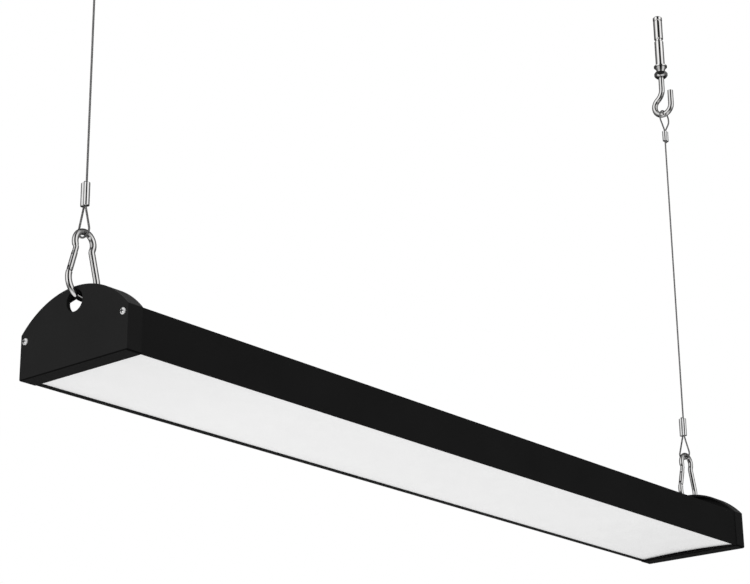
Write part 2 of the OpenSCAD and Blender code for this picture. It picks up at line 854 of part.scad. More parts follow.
// Soft eye in the XZ plane: its strands leave the ferrule's mouth at z = 0, either side of x = 0
module wire_eye(crown_r) {
  turn = eye_spread(crown_r);
  length = strand_len(crown_r) + 2 * lap;
  for (s = [0, 1]) mirror([s, 0, 0]) {
    translate([-mouth_p, 0, 0]) bar_arc(mouth_r, wire_d, 0, turn);
    translate([-mouth_p + mouth_r * cos(turn), 0, mouth_r * sin(turn)])
      rotate([0, -turn, 0]) translate([0, 0, -lap]) cylinder(h = length, d = wire_d - 2 * skin);
  }
  translate([0, 0, eye_len - crown_r]) bar_arc(crown_r, wire_d, -turn, 180 + 2 * turn);
}

// Frame of an eye: its standing strand lies on the wire's axis and z runs to the crown
module at_upper_eye(side) {
  translate([side * hang_x, 0, upper_crown_z - eye_len])
    translate([strand_gap / 2, 0, 0]) children();
}

module at_lower_eye(side) {
  translate([side * hang_x, 0, lower_crown_z + eye_len])
    rotate([180, 0, 90]) translate([strand_gap / 2, 0, 0]) children();
}

// Tail of an eye, from the ferrule's mouth to just past its other end
module wire_tail(ferrule_len) {
  reach = ferrule_len + wire_d;
  translate([strand_gap / 2, 0, -reach]) cylinder(h = reach + lap, d = wire_d - 2 * skin);
}

module wire(side) {
  color([0.7, 0.7, 0.72]) {
    translate([side * hang_x, 0, lower_crown_z + eye_len - lap])
      cylinder(h = wire_len - 2 * eye_len + 2 * lap, d = wire_d - 2 * skin);
    at_upper_eye(side) {
      wire_eye(upper_crown_r);
      wire_tail(upper_ferrule_len);
    }
    at_lower_eye(side) {
      wire_eye(lower_crown_r);
      wire_tail(lower_ferrule_len);
    }
  }
}

module left_wire() {
  wire(-1);
}

module right_wire() {
  wire(1);
}

// Pressed ferrule below the mouth of an eye: two barrels, each with the bore of a strand
module ferrule(length) {
  edge = gap;
  r = ferrule_d / 2;
  outline = [
    [0, -length], [r - edge, -length], [r, -length + edge], [r, -edge], [r - edge, 0], [0, 0]
  ];
  color([0.8, 0.8, 0.82]) difference() {
    for (s = [-1, 1])
      translate([s * (ferrule_w - ferrule_d) / 2, 0, 0]) rotate_extrude() polygon(outline);
    for (s = [-1, 1])
      translate([s * strand_gap / 2, 0, -length - over])
        cylinder(h = length + 2 * over, d = wire_d + 2 * run_fit);
  }
}

module left_upper_ferrule() {
  at_upper_eye(-1) ferrule(upper_ferrule_len);
}

module right_upper_ferrule() {
  at_upper_eye(1) ferrule(upper_ferrule_len);
}

module left_lower_ferrule() {
  at_lower_eye(-1) ferrule(lower_ferrule_len);
}

module right_lower_ferrule() {
  at_lower_eye(1) ferrule(lower_ferrule_len);
}

module at_anchor(side) {
  translate([side * hang_x, 0, 0]) children();
}

// Hook bolt: threaded shank, a bend off its axis, the bowl and the open tip
module hook_bolt(side) {
  straight_d = rod_d - 2 * skin;
  color([0.75, 0.75, 0.77]) at_anchor(side) rotate([0, 0, 90]) {
    translate([0, 0, neck_z - lap]) cylinder(h = bolt_top - neck_z + lap, d = straight_d);
    translate([neck_r, 0, neck_z]) bar_arc(neck_r, rod_d, 180, neck_turn);
    translate([0, 0, bowl_z]) {
      rotate([0, -neck_turn, 0])
        translate([bowl_line_r, 0, -lap]) cylinder(h = neck_run + 2 * lap, d = straight_d);
      bar_arc(bowl_line_r, rod_d, 180, 180 + neck_turn);
      translate([-bowl_line_r, 0, -lap]) cylinder(h = tip_rise + lap, d = straight_d);
    }
  }
}

module hex_nut(side) {
  corner_r = nut_af / 2 / cos(30);
  bore_r = rod_d / 2 + run_fit;
  flat_r = nut_af / 2 - nut_chamfer / 2;
  envelope = [
    [0, 0], [flat_r, 0], [corner_r, nut_chamfer], [corner_r, nut_h - nut_chamfer],
    [flat_r, nut_h], [0, nut_h]
  ];
  color([0.75, 0.75, 0.77]) at_anchor(side) translate([0, 0, nut_z]) difference() {
    intersection() {
      cylinder(h = nut_h, r = corner_r, $fn = 6);
      rotate_extrude() polygon(envelope);
    }
    translate([0, 0, -over]) cylinder(h = nut_h + 2 * over, r = bore_r);
  }
}

module collar(side) {
  bore_r = rod_d / 2 + run_fit;
  outline = [
    [bore_r, 0], [collar_low_d / 2, 0], [collar_high_d / 2, collar_h - collar_edge],
    [collar_high_d / 2, collar_h], [bore_r, collar_h]
  ];
  color([0.72, 0.72, 0.74]) at_anchor(side)
    translate([0, 0, -washer_t - collar_h]) rotate_extrude() polygon(outline);
}

module washer(side) {
  color([0.75, 0.75, 0.77]) at_anchor(side) translate([0, 0, -washer_t]) difference() {
    cylinder(h = washer_t, d = washer_d);
    translate([0, 0, -over]) cylinder(h = washer_t + 2 * over, d = rod_d + 2 * run_fit);
  }
}

// Expansion sleeve: a tube with a pressed waist, slit from the waist up, flared inside at the top
module sleeve(side) {
  r = sleeve_d / 2;
  bore_r = sleeve_bore / 2;
  waist_z = sleeve_len * waist_share;
  outline = [
    [bore_r, 0], [r, 0], [r, waist_z - waist_w / 2], [r - waist_deep, waist_z - waist_w / 4],
    [r - waist_deep, waist_z + waist_w / 4], [r, waist_z + waist_w / 2], [r, sleeve_len],
    [bore_r + flare_w, sleeve_len], [bore_r, sleeve_len - flare_deep]
  ];
  color([0.78, 0.78, 0.8]) at_anchor(side) difference() {
    rotate_extrude() polygon(outline);
    for (turn = [0 : 360 / slit_count : 179])
      rotate([0, 0, turn + 45])
        translate([-sleeve_d, -slit_w / 2, waist_z])
          cube([2 * sleeve_d, slit_w, sleeve_len]);
  }
}

// Cone nut that draws up into the flare and spreads the sleeve
module cone_nut(side) {
  bore_r = rod_d / 2 + run_fit;
  low_r_in = sleeve_bore / 2 - gap / 3;
  r = sleeve_d / 2 + cone_proud;
  edge = cone_h / 5;
  outline = [
    [bore_r, sleeve_len - flare_deep], [low_r_in, sleeve_len - flare_deep],
    [low_r_in + flare_w, sleeve_len], [low_r_in + flare_w, sleeve_len + groove_h],
    [r, sleeve_len + groove_h + edge / 2],
    [r, sleeve_len + cone_h - edge], [r - edge, sleeve_len + cone_h],
    [bore_r, sleeve_len + cone_h]
  ];
  color([0.72, 0.72, 0.74]) at_anchor(side) rotate_extrude() polygon(outline);
}

module left_hook_bolt() {
  hook_bolt(-1);
}

module right_hook_bolt() {
  hook_bolt(1);
}

module left_hex_nut() {
  hex_nut(-1);
}

module right_hex_nut() {
  hex_nut(1);
}

module left_collar() {
  collar(-1);
}

module right_collar() {
  collar(1);
}

module left_washer() {
  washer(-1);
}

module right_washer() {
  washer(1);
}

module left_sleeve() {
  sleeve(-1);
}

module right_sleeve() {
  sleeve(1);
}

module left_cone_nut() {
  cone_nut(-1);
}

module right_cone_nut() {
  cone_nut(1);
}

housing();
left_end_cap();
right_end_cap();
diffuser();
gear_tray();
led_board_1();
led_board_2();
led_board_3();
led_board_4();
led_board_screws();
driver_base();
driver_cover();
driver_board();
driver_screws();
terminal_block();
supply_leads();
led_leads();
inlet_grommet();
left_cap_screws();
right_cap_screws();
left_snap_body();
left_snap_gate();
left_gate_pin();
left_gate_spring();
left_gate_plunger();
right_snap_body();
right_snap_gate();
right_gate_pin();
right_gate_spring();
right_gate_plunger();
left_wire();
left_upper_ferrule();
left_lower_ferrule();
right_wire();
right_upper_ferrule();
right_lower_ferrule();
left_hook_bolt();
left_hex_nut();
left_collar();
left_washer();
left_sleeve();
left_cone_nut();
right_hook_bolt();
right_hex_nut();
right_collar();
right_washer();
right_sleeve();
right_cone_nut();
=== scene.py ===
"""Looks of the hanging shop light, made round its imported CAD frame. Lengths are in metres."""

from math import asin, atan2, cos, pi, radians, sin, sqrt

import bpy
from mathutils import Matrix, Vector


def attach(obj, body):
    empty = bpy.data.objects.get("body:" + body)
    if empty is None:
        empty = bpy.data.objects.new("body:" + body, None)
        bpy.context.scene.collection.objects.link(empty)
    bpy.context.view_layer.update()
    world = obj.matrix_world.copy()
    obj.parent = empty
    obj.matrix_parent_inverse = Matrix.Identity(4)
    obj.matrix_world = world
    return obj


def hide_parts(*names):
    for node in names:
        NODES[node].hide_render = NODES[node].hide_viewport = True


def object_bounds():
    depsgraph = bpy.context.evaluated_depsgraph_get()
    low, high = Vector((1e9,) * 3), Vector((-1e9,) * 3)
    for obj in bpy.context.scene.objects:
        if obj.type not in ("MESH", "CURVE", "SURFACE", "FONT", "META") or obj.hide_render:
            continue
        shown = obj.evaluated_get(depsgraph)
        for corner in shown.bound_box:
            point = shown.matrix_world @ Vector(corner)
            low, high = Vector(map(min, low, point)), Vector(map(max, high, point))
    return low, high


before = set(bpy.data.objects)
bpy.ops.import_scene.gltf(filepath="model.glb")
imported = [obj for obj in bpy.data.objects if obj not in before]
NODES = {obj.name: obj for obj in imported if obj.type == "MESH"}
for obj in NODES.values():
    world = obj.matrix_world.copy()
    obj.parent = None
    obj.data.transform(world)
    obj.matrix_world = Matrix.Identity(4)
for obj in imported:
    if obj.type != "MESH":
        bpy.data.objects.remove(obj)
CAD_BOX = [list(corner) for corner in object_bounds()]

# The photograph's view: azimuth from +Y towards +X, elevation above the horizon
CAMERA_AT = (-1.9018, -1.4729, -1.4024)
CAMERA_AZIMUTH = radians(50.45)
CAMERA_ELEVATION = radians(19.85)
CAMERA_ROLL = radians(-0.64)
CAMERA_LENS = 97.0
CAMERA_SENSOR = 36.0
CAMERA_CLIP_END = 50.0

# The studio: even light, and one lamp that polished metal doesn't mirror
AMBIENT = 0.72
LAMP_AT = (-3.6, 0.3, 0.4)
LAMP_SIZE = 2.2
LAMP_WATTS = 70.0
# What polished metal sees round it: (degrees away from the camera's side, brightness)
REFLECTED_BANDS = (
    (180, 0.03), (140, 0.05), (112, 0.12), (88, 0.24), (66, 1.0), (30, 1.0), (22, 0.02),
    (0, 0.02),
)
# The share of it that is left low down and high up, and the heights of the view between
# which it changes, from -1 straight down to 1 straight up
REFLECTED_BELOW = 0.25
REFLECTED_BELOW_Z = (-0.45, -0.1)
REFLECTED_ABOVE = 0.35
REFLECTED_ABOVE_Z = (0.5, 0.9)
# The floor, and the shares of its radius between which it fades into the background
FLOOR_Z = -2.5
FLOOR_R = 3.2
FLOOR_SIDES = 96
FLOOR_FADE = (0.45, 0.98)
FLOOR_GREYS = (0.84, 0.88)
FLOOR_ROUGHNESS = 0.9
FLOOR_CLOUD_SCALE = 3.0

# Turns a direction into its level part
LEVEL = (1.0, 1.0, 0.0)
# Spacing of the nodes in a tree's window
NODE_SPACING = 220

# Where most values of a noise lie, and where their core lies
NOISE_RANGE = (0.3, 0.7)
NOISE_CORE = (0.35, 0.65)

# Powder coat: scales of its clouds and specks, share of the fine grain in its tone, the
# noise that makes a speck, how much of a speck shows, and the depth of the relief
COAT_CLOUD_SCALE = 14.0
COAT_SPECK_SCALE = 2200.0
COAT_FINE_SHARE = 0.6
COAT_SPECK_NOISE = (0.62, 0.74)
COAT_SPECK_SHARE = 0.35
COAT_RELIEF = 0.00008
# Plated metal: scale of its hairlines, the noise that makes one, the roughness that it adds,
# and the depth of the relief
HAIR_SCALE = 400.0
HAIR_NOISE = (0.58, 0.66)
HAIR_ROUGHNESS = 0.3
METAL_RELIEF = 0.00001
# Moulded pieces: scale of the mottling, and the depth of the relief
MOTTLE_SCALE = 35.0
SKIN_RELIEF = 0.00005

# Diffuser: strength of its painted glow, in place of light on its underside, the distances from
# its middle between which that fades as painted shade towards the ends, the share left at the
# ends, and the clouds in it with the share left in their darkest
GLOW = 0.28
GLOW_FADE_X = (0.35, 0.6)
GLOW_AT_ENDS = 0.8
GLOW_CLOUD_SCALE = 6.0
GLOW_CLOUD_LEAST = 0.985

# Half width of a painted border between two colours
BORDER_SOFT = 0.0001
# Inner pieces: undersides of the LED boards, top of the driver's board, and how far from the
# middle the gaps between the supply leads are
CHIP_TOP_Z = -0.75300
BOARD_TOP_Z = -0.74550
LEAD_GAP_Y = 0.003
# Cap screws: distance of their axes from the middle, their height, and the reach, half width
# and brightness of the painted shade in the cross recess of a head
SCREW_Y = 0.0730
SCREW_Z = -0.7354
SCREW_CROSS_R = 0.0023
SCREW_CROSS_HALF = 0.00065
SCREW_RECESS_SHADE_GREY = 0.02
# Painted shade along the foot of an end cap's outer faces, where they meet the underside: its
# middle height, half width, share and brightness
CAP_FOOT_SHADE_Z = -0.77640
CAP_FOOT_SHADE_HALF = 0.00085
CAP_FOOT_SHADE_SHARE = 0.9
CAP_FOOT_SHADE_GREY = 0.001
# Arch of the end caps: height of its centre, its radius, how far inside that the painted sheen
# on its top begins and is full, and that sheen's least share and brightness
ARCH_CENTRE_Z = -0.79825
ARCH_R = 0.10689
ARCH_SHEEN_IN = (4 * BORDER_SOFT, 2 * BORDER_SOFT)
ARCH_SHEEN_LEAST = 0.7
ARCH_SHEEN_GREY = 0.06

# Wire ropes, on the route that the CAD source has, at either side of the middle
HANG_X = 0.590
# Thickness, strands, length of one turn of the lay, and the points of the sweep
ROPE_D = 0.0024
ROPE_STRANDS = 6
ROPE_LAY = 0.0150
ROPE_STEP = 0.0006
ROPE_PROFILE = 36
# Eyes: distance between the standing strand and the tail, bends at the mouth and the crowns,
# length from mouth to crown, heights of the crowns, and the tails
STRAND_GAP = 0.00288
MOUTH_R = 0.008
UPPER_CROWN_R = 0.0125
LOWER_CROWN_R = 0.008
EYE_LEN = 0.035
UPPER_CROWN_Z = -0.076541
LOWER_CROWN_Z = -0.634541
UPPER_TAIL = 0.0184
LOWER_TAIL = 0.0284
# Steps along a bend at the mouth; a crown has three times as many
ARC_STEPS = 24


# ---------------------------------------------------------------- node helpers

class Graph:
    """A node tree with short calls to add and join its nodes."""

    def __init__(self, tree):
        self.tree = tree
        self.column = 0

    def add(self, kind, values=None, **settings):
        node = self.tree.nodes.new(kind)
        node.location = (NODE_SPACING * self.column, 0)
        self.column += 1
        for name, value in settings.items():
            setattr(node, name, value)
        for label, value in (values or {}).items():
            self.feed(node.inputs[label], value)
        return node

    def feed(self, socket, value):
        """Links a socket, or sets it to a constant."""
        if isinstance(value, bpy.types.NodeSocket):
            self.tree.links.new(value, socket)
        else:
            socket.default_value = value

    def math(self, operation, *values):
        node = self.add("ShaderNodeMath", dict(enumerate(values)), operation=operation)
        return node.outputs[0]

    def vector(self, operation, *values):
        """Both outputs of a vector operation: its Vector, and its Value."""
        node = self.add("ShaderNodeVectorMath", dict(enumerate(values)), operation=operation)
        return node.outputs

    def axes(self, vector):
        """The X, Y and Z of a vector."""
        return self.add("ShaderNodeSeparateXYZ", {0: vector}).outputs

    def noise(self, vector, scale, detail=2.0, roughness=0.5):
        node = self.add("ShaderNodeTexNoise", {
            "Vector": vector, "Scale": scale, "Detail": detail, "Roughness": roughness})
        return node.outputs["Fac"]

    def remap(self, value, low, high, to_low=0.0, to_high=1.0):
        node = self.add("ShaderNodeMapRange", {
            "Value": value, "From Min": low, "From Max": high,
            "To Min": to_low, "To Max": to_high})
        return node.outputs["Result"]

    def blend(self, factor, first, second):
        node = self.add("ShaderNodeMix", data_type="RGBA")
        self.feed(node.inputs[0], factor)
        self.feed(node.inputs[6], first)
        self.feed(node.inputs[7], second)
        return node.outputs[2]


def grey(level, warmth=0.0):
    """A linear grey, a little warm or cool."""
    return (level * (1 + warmth), level, level * (1 - warmth), 1.0)


def effect(name, inputs, outputs, body):
    """A shader node group: inputs and outputs are (label, socket kind, default)."""
    tree = bpy.data.node_groups.new(name, "ShaderNodeTree")
    for label, kind, default in inputs:
        socket = tree.interface.new_socket(label, in_out="INPUT", socket_type=kind)
        if default is not None:
            socket.default_value = default
    for label, kind in outputs:
        tree.interface.new_socket(label, in_out="OUTPUT", socket_type=kind)
    graph = Graph(tree)
    start = graph.add("NodeGroupInput")
    results = body(graph, {label: start.outputs[label] for label, _, _ in inputs})
    end = graph.add("NodeGroupOutput")
    for label, value in results.items():
        graph.feed(end.inputs[label], value)
    return tree


# ---------------------------------------------------------------- shared effects

def coat_grain(graph, given):
    """Fine relief, faint clouds and specks of a baked powder coat."""
    fine = graph.noise(given["Vector"], given["Grain Scale"], detail=3.0, roughness=0.6)
    cloud = graph.noise(given["Vector"], COAT_CLOUD_SCALE)
    speck = graph.noise(given["Vector"], COAT_SPECK_SCALE, detail=1.0)
    speck = graph.remap(speck, *COAT_SPECK_NOISE)
    tone = graph.math("ADD", graph.math("MULTIPLY", fine, COAT_FINE_SHARE),
                      graph.math("MULTIPLY", cloud, 1 - COAT_FINE_SHARE))
    colour = graph.blend(graph.remap(tone, *NOISE_CORE), given["Deep"], given["Raised"])
    colour = graph.blend(graph.math("MULTIPLY", speck, COAT_SPECK_SHARE), colour,
                         given["Speck"])
    rough = graph.remap(cloud, *NOISE_RANGE, given["Rough Low"], given["Rough High"])
    return {"Color": colour, "Roughness": rough, "Height": fine}


def metal_wear(graph, given):
    """Clouds and hairline scratches of plated metal."""
    cloud = graph.noise(given["Vector"], given["Cloud Scale"], detail=3.0, roughness=0.55)
    hair = graph.noise(given["Vector"], HAIR_SCALE, detail=4.0, roughness=0.7)
    line = graph.remap(hair, *HAIR_NOISE)
    colour = graph.blend(graph.remap(cloud, *NOISE_RANGE), given["Shaded"], given["Bright"])
    colour = graph.blend(graph.math("MULTIPLY", line, given["Scratch Share"]), colour,
                         given["Shaded"])
    rough = graph.remap(cloud, *NOISE_RANGE, given["Rough Low"], given["Rough High"])
    added = graph.math("MULTIPLY", given["Scratch Share"], HAIR_ROUGHNESS)
    rough = graph.math("ADD", rough, graph.math("MULTIPLY", line, added))
    return {"Color": colour, "Roughness": rough, "Height": hair}


def moulded_skin(graph, given):
    """Satin skin of moulded plastic, rubber and lead sleeves, with faint mottling."""
    fine = graph.noise(given["Vector"], given["Grain Scale"])
    mottle = graph.noise(given["Vector"], MOTTLE_SCALE, detail=3.0)
    colour = graph.blend(graph.remap(mottle, *NOISE_RANGE), given["Shade"], given["Tint"])
    rough = graph.remap(mottle, *NOISE_RANGE, given["Rough Low"], given["Rough High"])
    return {"Color": colour, "Roughness": rough, "Height": fine}


VECTOR, COLOUR, VALUE = "NodeSocketVector", "NodeSocketColor", "NodeSocketFloat"
LOOK = (("Color", COLOUR), ("Roughness", VALUE), ("Height", VALUE))

COAT = effect("coat_grain", (
    ("Vector", VECTOR, None), ("Grain Scale", VALUE, 900.0),
    ("Deep", COLOUR, grey(0.01)), ("Raised", COLOUR, grey(0.012)),
    ("Speck", COLOUR, grey(0.03)),
    ("Rough Low", VALUE, 0.45), ("Rough High", VALUE, 0.55)), LOOK, coat_grain)

METAL = effect("metal_wear", (
    ("Vector", VECTOR, None), ("Cloud Scale", VALUE, 90.0), ("Scratch Share", VALUE, 0.25),
    ("Shaded", COLOUR, grey(0.5)), ("Bright", COLOUR, grey(0.7)),
    ("Rough Low", VALUE, 0.12), ("Rough High", VALUE, 0.2)), LOOK, metal_wear)

SKIN = effect("moulded_skin", (
    ("Vector", VECTOR, None), ("Grain Scale", VALUE, 1500.0),
    ("Shade", COLOUR, grey(0.4)), ("Tint", COLOUR, grey(0.5)),
    ("Rough Low", VALUE, 0.4), ("Rough High", VALUE, 0.5)), LOOK, moulded_skin)


# ---------------------------------------------------------------- finishes

# Linear colours of plastics and sleeves: (shaded, lit)
BLACK_PLASTIC = (grey(0.015), grey(0.03))
BLACK_RUBBER = (grey(0.015), grey(0.024))
OPAL_WHITE = (grey(0.855), grey(0.87))
BOARD_WHITE = (grey(0.8), grey(0.86))
BOARD_GREEN = ((0.03, 0.13, 0.05, 1), (0.05, 0.2, 0.08, 1))
CHIP_YELLOW = ((0.76, 0.62, 0.2, 1), (0.84, 0.7, 0.26, 1))
BLOCK_CREAM = ((0.7, 0.66, 0.54, 1), (0.78, 0.75, 0.64, 1))
LEAD_BROWN = ((0.2, 0.07, 0.03, 1), (0.26, 0.1, 0.05, 1))
LEAD_GREEN_YELLOW = ((0.1, 0.38, 0.06, 1), (0.62, 0.6, 0.05, 1))
LEAD_BLUE = ((0.02, 0.08, 0.4, 1), (0.03, 0.1, 0.5, 1))
LEAD_RED = ((0.45, 0.02, 0.02, 1), (0.55, 0.03, 0.03, 1))


class Finish:
    """A material on one shared effect; constants are set on the shader's own sockets."""

    def __init__(self, name, effect_tree, values, bump, bump_depth, **constants):
        self.material = bpy.data.materials.new(name)
        self.material.use_nodes = True
        self.graph = Graph(self.material.node_tree)
        self.shader = self.material.node_tree.nodes["Principled BSDF"]
        self.place = self.graph.add("ShaderNodeTexCoord").outputs["Object"]
        look = self.graph.add("ShaderNodeGroup", node_tree=effect_tree)
        self.colour, self.height = look.outputs["Color"], look.outputs["Height"]
        self.graph.feed(look.inputs["Vector"], self.place)
        for label, value in values.items():
            look.inputs[label].default_value = value
        relief = self.graph.add("ShaderNodeBump", {
            "Strength": bump, "Distance": bump_depth, "Height": self.height})
        self.recolour(self.colour)
        self.graph.feed(self.shader.inputs["Roughness"], look.outputs["Roughness"])
        self.graph.feed(self.shader.inputs["Normal"], relief.outputs["Normal"])
        for label, value in constants.items():
            self.shader.inputs[label.replace("_", " ")].default_value = value

    def recolour(self, colour):
        self.graph.feed(self.shader.inputs["Base Color"], colour)


def coated(name, deep, raised, speck, rough, specular, grain=900.0, bump=0.25):
    """Powder-coated sheet: greys of its hollows, grain and specks, and roughness from, to."""
    return Finish(name, COAT, {
        "Grain Scale": grain, "Deep": grey(deep), "Raised": grey(raised), "Speck": grey(speck),
        "Rough Low": rough[0], "Rough High": rough[1]},
        bump, COAT_RELIEF, Specular_IOR_Level=specular)


def plated(name, shaded, bright, rough, warmth=0.0, cloud=90.0, scratches=0.25, bump=0.03,
           metallic=1.0):
    """Plated or bare metal: greys of its clouds, and roughness from, to."""
    return Finish(name, METAL, {
        "Cloud Scale": cloud, "Scratch Share": scratches,
        "Shaded": grey(shaded, warmth), "Bright": grey(bright, warmth),
        "Rough Low": rough[0], "Rough High": rough[1]},
        bump, METAL_RELIEF, Metallic=metallic)


def moulded(name, colours, rough, specular=0.5, grain=1500.0, bump=0.12):
    """Plastic or rubber: (shaded, lit) colours, and roughness from, to."""
    return Finish(name, SKIN, {
        "Grain Scale": grain, "Shade": colours[0], "Tint": colours[1],
        "Rough Low": rough[0], "Rough High": rough[1]},
        bump, SKIN_RELIEF, Specular_IOR_Level=specular)


def parted(made, axis, parts):
    """Gives a moulded finish further colours along one axis: (from where, colours)."""
    graph = made.graph
    along = graph.axes(made.place)[axis]
    grain = graph.remap(made.height, *NOISE_CORE)
    mixed = made.colour
    for edge, (shade, tint) in parts:
        beyond = graph.remap(along, edge - BORDER_SOFT, edge + BORDER_SOFT)
        mixed = graph.blend(beyond, mixed, graph.blend(grain, shade, tint))
    made.recolour(mixed)
    return made


def painted_recess_shade(made):
    """Darkens a cap screw's finish inside the cross recess of its head with painted shade."""
    graph = made.graph
    axes = graph.axes(made.place)
    across = graph.math("SUBTRACT", graph.math("ABSOLUTE", axes["Y"]), SCREW_Y)
    across = graph.math("ABSOLUTE", across)
    up = graph.math("ABSOLUTE", graph.math("SUBTRACT", axes["Z"], SCREW_Z))
    reach = graph.remap(graph.math("MAXIMUM", across, up),
                        SCREW_CROSS_R, SCREW_CROSS_R + BORDER_SOFT, 1.0, 0.0)
    arm = graph.remap(graph.math("MINIMUM", across, up),
                      SCREW_CROSS_HALF, SCREW_CROSS_HALF + BORDER_SOFT, 1.0, 0.0)
    mask = graph.math("MULTIPLY", reach, arm)
    made.recolour(graph.blend(mask, made.colour, grey(SCREW_RECESS_SHADE_GREY)))
    return made


def painted_cap_shade_and_sheen(made):
    """Darkens the foot of an end cap's outer faces with painted shade, and paints a sheen on the
    top of its arch.
    """
    graph = made.graph
    axes = graph.axes(made.place)
    # Painted shade in a band along the foot of the outer faces
    off = graph.math("ABSOLUTE", graph.math("SUBTRACT", axes["Z"], CAP_FOOT_SHADE_Z))
    foot = graph.remap(off, CAP_FOOT_SHADE_HALF - BORDER_SOFT, CAP_FOOT_SHADE_HALF + BORDER_SOFT,
                       CAP_FOOT_SHADE_SHARE, 0.0)
    # Painted sheen on the top of the arch, in place of light glancing off the curved coat
    up = graph.math("SUBTRACT", axes["Z"], ARCH_CENTRE_Z)
    out = graph.math("SQRT", graph.math("ADD", graph.math("MULTIPLY", axes["Y"], axes["Y"]),
                                        graph.math("MULTIPLY", up, up)))
    arch = graph.remap(out, ARCH_R - ARCH_SHEEN_IN[0], ARCH_R - ARCH_SHEEN_IN[1])
    grain = graph.remap(made.height, *NOISE_CORE, ARCH_SHEEN_LEAST, 1.0)
    mixed = graph.blend(graph.math("MULTIPLY", arch, grain), made.colour, grey(ARCH_SHEEN_GREY))
    made.recolour(graph.blend(foot, mixed, grey(CAP_FOOT_SHADE_GREY)))
    return made


def lit(made):
    """Paints a glow on the diffuser in place of light on its underside, dimmer at its ends as
    painted shade.
    """
    graph = made.graph
    along = graph.math("ABSOLUTE", graph.axes(made.place)["X"])
    painted_end_shade = graph.remap(along, *GLOW_FADE_X, 1.0, GLOW_AT_ENDS)
    cloud = graph.noise(made.place, GLOW_CLOUD_SCALE, detail=1.0)
    cloud = graph.remap(cloud, *NOISE_RANGE, GLOW_CLOUD_LEAST, 1.0)
    glow = graph.math("MULTIPLY", painted_end_shade, cloud)
    graph.feed(made.shader.inputs["Emission Color"], graph.blend(glow, grey(0.0), grey(1.0)))
    made.shader.inputs["Emission Strength"].default_value = GLOW
    return made


def build_finishes():
    """One material for each material slot of the record."""
    finishes = {
        "black_coat": coated("matt_black_coat", deep=0.006, raised=0.009, speck=0.02,
                             rough=(0.5, 0.6), specular=0.1),
        # End caps: painted shade along their foot and a painted sheen on top of their arch
        "cap_coat": painted_cap_shade_and_sheen(coated("satin_cap_coat", deep=0.0105, raised=0.0142, speck=0.03,
                                 rough=(0.5, 0.6), specular=0.05)),
        # Diffuser: painted glow in place of light on its underside
        "opal": lit(moulded("opal_diffuser", OPAL_WHITE, rough=(0.4, 0.44), specular=0.4,
                            grain=700.0, bump=0.05)),
        "white_coat": coated("white_tray_coat", deep=0.78, raised=0.84, speck=0.7,
                             rough=(0.25, 0.35), specular=0.5, grain=600.0),
        "white_board": parted(moulded("white_board_mask", CHIP_YELLOW, rough=(0.3, 0.4)),
                              "Z", ((CHIP_TOP_Z, BOARD_WHITE),)),
        "zinc_sheet": plated("zinc_sheet", shaded=0.42, bright=0.6, rough=(0.32, 0.45),
                             cloud=60.0),
        "green_board": parted(moulded("green_board_mask", BOARD_GREEN, rough=(0.3, 0.45)),
                              "Z", ((BOARD_TOP_Z, BLACK_PLASTIC),)),
        "block_plastic": moulded("cream_block", BLOCK_CREAM, rough=(0.35, 0.45)),
        "supply_sleeve": parted(moulded("supply_sleeves", LEAD_BROWN, rough=(0.3, 0.4)),
                                "Y", ((-LEAD_GAP_Y, LEAD_GREEN_YELLOW),
                                      (LEAD_GAP_Y, LEAD_BLUE))),
        "led_sleeve": parted(moulded("board_sleeves", BLACK_PLASTIC, rough=(0.3, 0.4)),
                             "Y", ((0.0, LEAD_RED),)),
        "grommet_rubber": moulded("grommet_rubber", BLACK_RUBBER, rough=(0.55, 0.7),
                                  specular=0.35),
        "screw_steel": plated("screw_steel", shaded=0.7, bright=0.86, rough=(0.24, 0.34),
                              cloud=220.0),
        "bright_steel": plated("bright_nickel", shaded=0.74, bright=0.86, rough=(0.05, 0.09),
                               warmth=0.008, cloud=40.0, scratches=0.06, bump=0.01),
        "wire_steel": plated("wire_steel", shaded=0.25, bright=0.38, rough=(0.2, 0.3),
                             cloud=260.0),
        "ferrule_metal": plated("pressed_ferrule", shaded=0.78, bright=0.9, rough=(0.08, 0.14),
                                cloud=60.0, scratches=0.1, bump=0.01),
        "anchor_steel": plated("anchor_steel", shaded=0.82, bright=0.94, rough=(0.05, 0.1),
                               warmth=0.008, cloud=50.0, scratches=0.08, bump=0.01),
        "spring_steel": plated("spring_steel", shaded=0.3, bright=0.45, rough=(0.25, 0.4),
                               cloud=200.0),
    }
    return {slot: made.material for slot, made in finishes.items()}


def dress_nodes(finishes):
    """Every CAD node takes the finish of its slot in the record, the cap screws their own."""
    # The cap screws' own finish has painted shade in the cross recess of each head
    heads = painted_recess_shade(plated("cap_screw_steel", shaded=0.86, bright=0.96, rough=(0.26, 0.36),
                            cloud=220.0, metallic=0.45)).material
    for name, node in NODES.items():
        slot = node.material_slots[0].material.name.split(".")[0]
        node.material_slots[0].material = heads if "cap_screws" in name else finishes[slot]


# ---------------------------------------------------------------- wire ropes

def arc(centre, radius, start, stop, steps=ARC_STEPS):
    """Points (p, q) on an arc, angles in radians."""
    span = stop - start
    return [(centre[0] + radius * cos(start + span * i / steps),
             centre[1] + radius * sin(start + span * i / steps)) for i in range(steps + 1)]


def eye_route(crown_r, tail):
    """Middle line of an eye and its tail: from the tail's end, round, to the standing strand."""
    crown_q = EYE_LEN - crown_r
    mouth_p = STRAND_GAP / 2 + MOUTH_R
    span = sqrt(mouth_p ** 2 + crown_q ** 2)
    spread = atan2(crown_q, mouth_p) + asin((MOUTH_R + crown_r) / span) - pi / 2
    route = [(STRAND_GAP / 2, -tail)]
    route += arc((mouth_p, 0), MOUTH_R, pi, pi - spread)
    route += arc((0, crown_q), crown_r, -spread, pi + spread, 3 * ARC_STEPS)
    route += arc((-mouth_p, 0), MOUTH_R, spread, 0)
    return route


